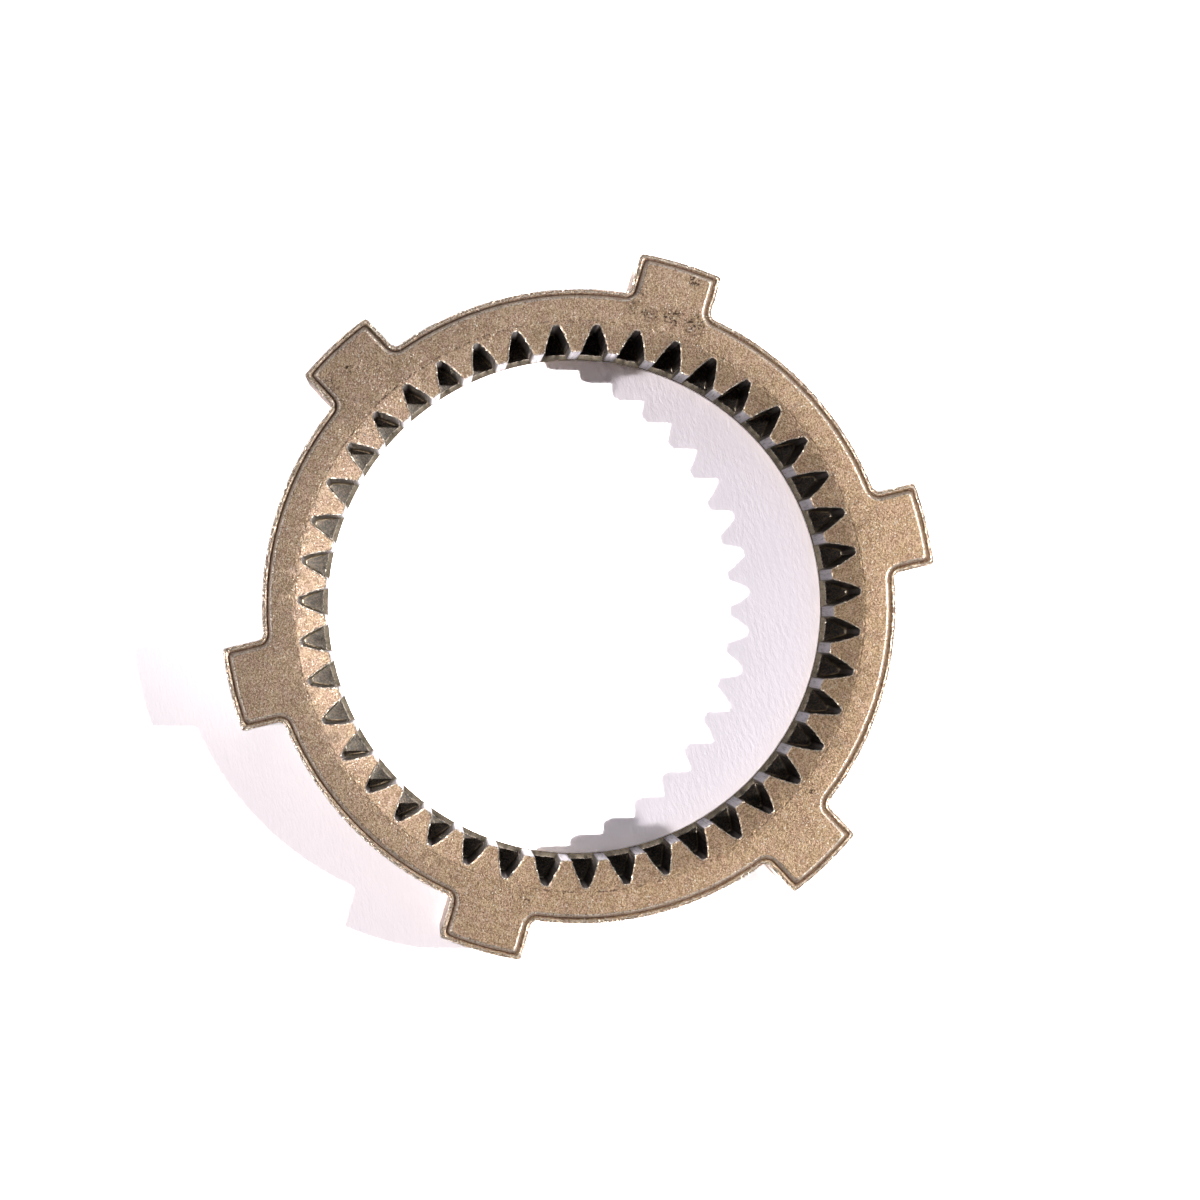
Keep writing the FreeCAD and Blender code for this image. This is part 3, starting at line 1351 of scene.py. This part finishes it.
@dataclass(frozen=True)
class Paper:
    """The sheet under the gear, which the camera and the metal see as overexposed white.

    Outside the ring a painted glow lifts the gear's shadow towards white, less so towards the bottom left of
    the picture, and in the metal's reflections its strips beside four lug walls are painted brighter. Its
    size and the depth of its fibres are in metres, and bands and places are in millimetres.
    """

    size: float = 1.2
    plain: Colour = (0.86, 0.85, 0.85, 1.0)
    seen: Colour = (5.85, 5.6, 5.9, 1.0)
    glow_near: Colour = (0.53, 0.49, 0.51, 1.0)
    glow_far: Colour = WHITE
    mirrored: Colour = (1.45, 1.4, 1.48, 1.0)
    mirrored_by_lugs: Colour = (6.0, 5.8, 6.0, 1.0)
    glow_side: Triple = (0.456, 0.89, 0.0)
    glow_band: Band = (-27.5, -4.0)
    ring_band: Band = (24.0, 26.0)
    ring_shade: float = 0.5
    strips: tuple[tuple[float, int], ...] = ((60, 1), (240, -1), (120, 1), (300, -1))
    strip_along: float = 27.8
    strip_across: float = 4.0
    strip_band: Band = (1.8, 2.4)
    fibres: Speckle = Speckle(2600, 3.0, 0.6)
    fibre_stretch: Triple = (1.0, 0.4, 1.0)
    fibre_depth: float = 0.00006

    def by_lugs(self, graph: Graph, place: Signal) -> Signal:
        """Marks the strips beside four lug walls where the paper is painted brighter in the metal's
        reflections, so that those walls, seen at a grazing angle, show a painted white reflection.

        Args:
            graph: The paper's graph.
            place: Place on the paper.

        Returns:
            1 on the strips and 0 elsewhere.
        """
        marks = []
        for degrees, side in self.strips:
            centre = Vector((self.strip_along, self.strip_across * side, 0.0))
            centre = Matrix.Rotation(math.radians(degrees), 3, "Z") @ centre
            away = graph.vector("DISTANCE", "Value", place, tuple(centre * MM))
            marks.append(away.fall(metres(self.strip_band)))
        return largest(marks)

    def material(self) -> bpy.types.Material:
        """Builds the paper's material.

        Returns:
            A white that is brighter for the camera and for the metal.
        """
        paper = bpy.data.materials.new("paper")
        paper.use_nodes = True
        graph = Graph(paper.node_tree)
        place = graph.coordinate("Object")
        # Painted light: outside the ring the camera sees half the lit paper plus an emitted glow, which
        # lifts the gear's shadow, less so towards the bottom left
        beyond = graph.vector("LENGTH", "Value", place).rise(metres(self.ring_band))
        across = graph.vector("DOT_PRODUCT", "Value", place, tuple(turned(Vector(self.glow_side))))
        outside = graph.blend(across.rise(metres(self.glow_band)), self.glow_near, self.glow_far)
        glow = graph.blend(beyond, BLACK, outside)
        seen = graph.blend(beyond * self.ring_shade, self.seen, BLACK)
        # Painted reflection: glossy rays see the strips beside four lug walls far brighter
        mirrored = graph.blend(self.by_lugs(graph, place), self.mirrored, self.mirrored_by_lugs)
        fibres = graph.noise(graph.stretched(place, self.fibre_stretch), self.fibres)
        bump = graph.relief(fibres, 1.0, self.fibre_depth)
        plain, bright = (
            graph.node("ShaderNodeBsdfDiffuse", None, {"Color": colour, "Normal": bump})
            for colour in (self.plain, mirrored)
        )
        inputs = {
            "Base Color": seen,
            "Roughness": 1.0,
            "Specular IOR Level": 0.0,
            "Emission Color": glow,
            "Emission Strength": 1.0,
            "Normal": bump,
        }
        brightest = graph.node("ShaderNodeBsdfPrincipled", None, inputs)
        indirect = {0: graph.ray("Is Glossy Ray"), 1: plain, 2: bright}
        indirect = graph.node("ShaderNodeMixShader", None, indirect)
        mixed = {0: graph.ray("Is Camera Ray"), 1: indirect, 2: brightest}
        mixed = graph.node("ShaderNodeMixShader", None, mixed)
        graph.node("ShaderNodeOutputMaterial", None, {"Surface": mixed})
        return paper

    def lay(self) -> bpy.types.Object:
        """Lays the sheet.

        Returns:
            The sheet.
        """
        bpy.ops.object.select_all(action="DESELECT")
        bpy.ops.mesh.primitive_plane_add(size=self.size)
        sheet = bpy.context.active_object
        sheet.name = "paper"
        sheet.data.materials.append(self.material())
        return sheet


@dataclass(frozen=True)
class Lamp:
    """A distant lamp.

    Attributes:
        name: Its name.
        azimuth: Degrees counter-clockwise from the picture's right.
        elevation: Degrees above the paper.
        spread: Angle in degrees that it covers, which softens its shadow.
        strength: Power at right angles to it.
        colour: Its colour.
    """

    name: str
    azimuth: float
    elevation: float
    spread: float
    strength: float
    colour: Triple

    def hang(self) -> None:
        """Hangs the lamp."""
        sun = bpy.data.lights.new(self.name, "SUN")
        sun.energy = self.strength
        sun.angle = math.radians(self.spread)
        sun.color = self.colour
        lamp = bpy.data.objects.new(self.name, sun)
        bpy.context.scene.collection.objects.link(lamp)
        up, round_ = math.radians(self.elevation), math.radians(self.azimuth)
        toward = Vector((math.cos(up) * math.cos(round_), math.cos(up) * math.sin(round_), math.sin(up)))
        lamp.rotation_euler = turned(toward).to_track_quat("Z", "Y").to_euler()


@dataclass(frozen=True)
class Studio:
    """A hard key light on the right, a weaker one on the left, a broad faint one behind, and the camera.

    The camera's place is in millimetres in the picture's frame, and its tilt about x and y is in degrees.
    """

    lamps: tuple[Lamp, ...] = (
        Lamp("key", 0.0, 46.8, 1.6, 3.67, (1.0, 0.98, 0.95)),
        Lamp("fill", 184.0, 29.4, 2.2, 0.58, (1.0, 0.96, 0.97)),
        Lamp("back", 95.0, 40.0, 60.0, 0.13, (0.92, 0.95, 1.0)),
    )
    room: Colour = (0.92, 0.9, 1.0, 1.0)
    room_strength: float = 0.006
    camera_place: Triple = (-13.72, -1.06, 250.0)
    camera_tilt: tuple[float, float] = (0.371, -3.621)
    lens: float = 88.55
    sensor: float = 36.0
    nearest: float = 0.01
    farthest: float = 10.0

    def camera(self) -> bpy.types.Object:
        """Places the camera where the photograph was taken.

        Returns:
            The camera.
        """
        data = bpy.data.cameras.new("camera")
        data.sensor_width = self.sensor
        data.lens = self.lens
        data.clip_start = self.nearest
        data.clip_end = self.farthest
        camera = bpy.data.objects.new("camera", data)
        bpy.context.scene.collection.objects.link(camera)
        about_x, about_y = (math.radians(value) for value in self.camera_tilt)
        tilt = Matrix.Rotation(about_x, 4, "X") @ Matrix.Rotation(about_y, 4, "Y")
        spot = Matrix.Translation(Vector(self.camera_place) * MM)
        camera.matrix_world = Matrix.Rotation(math.radians(PICTURE_TURN), 4, "Z") @ spot @ tilt
        bpy.context.scene.camera = camera
        return camera

    def world(self) -> None:
        """Sets the dim surroundings, white where the camera sees them."""
        world = bpy.data.worlds.new("room")
        world.use_nodes = True
        graph = Graph(world.node_tree)
        soft = graph.node("ShaderNodeBackground", None, {"Color": self.room, "Strength": self.room_strength})
        plain = graph.node("ShaderNodeBackground", None, {"Color": WHITE, "Strength": 1.0})
        mixed = graph.node("ShaderNodeMixShader", None, {0: graph.ray("Is Camera Ray"), 1: soft, 2: plain})
        graph.node("ShaderNodeOutputWorld", None, {"Surface": mixed})
        bpy.context.scene.world = world

    def build(self) -> None:
        """Hangs the lamps, sets the surroundings and places the camera."""
        for lamp in self.lamps:
            lamp.hang()
        self.world()
        self.camera()


def main() -> None:
    """Builds the gear, dresses it, and sets the studio."""
    logging.basicConfig(level=logging.INFO, format="%(message)s")
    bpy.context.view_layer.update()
    gear = RingGear().build()
    gear.data.materials.clear()
    gear.data.materials.append(SinteredSteel().material())
    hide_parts("ring_gear")
    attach(gear, "root")
    log.info("%s: %d triangles", gear.name, sum(len(face.vertices) - 2 for face in gear.data.polygons))
    Paper().lay()
    Studio().build()
    bpy.context.scene.view_settings.view_transform = "Standard"


if __name__ == "__main__":
    main()
